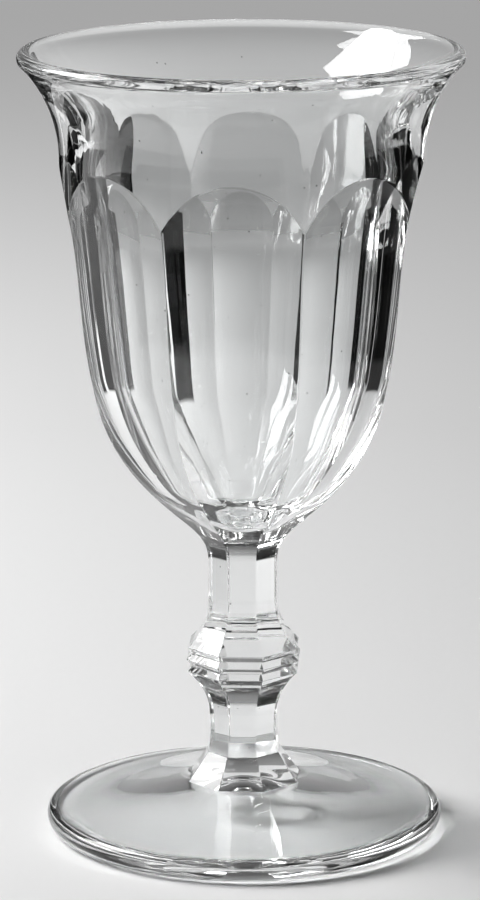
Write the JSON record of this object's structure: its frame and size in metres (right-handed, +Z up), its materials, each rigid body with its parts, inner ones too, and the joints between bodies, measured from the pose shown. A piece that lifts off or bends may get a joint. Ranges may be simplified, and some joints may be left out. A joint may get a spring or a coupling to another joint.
{
  "type": "water goblet",
  "caption": "Clear pressed-glass water goblet: deep bowl with arched flat panels under a flared lip, faceted stem with a ringed knop, and a round foot.",
  "frame": {"origin": "middle of the foot's underside, on the surface that the goblet stands on", "axes": "+Z up along the goblet's axis, -Y out of the middle of one flat panel"},
  "size_m": [0.0844, 0.0844, 0.152],
  "materials": {
    "foot_glass": "clear pressed glass, fire polished",
    "stem_glass": "clear pressed glass, fire polished",
    "bowl_glass": "clear pressed glass, fire polished"
  },
  "bodies": {
    "root": {"foot": "foot_glass", "lower_stem": "stem_glass", "knop": "stem_glass", "upper_stem": "stem_glass", "bowl": "bowl_glass"}
  },
  "joints": []
}
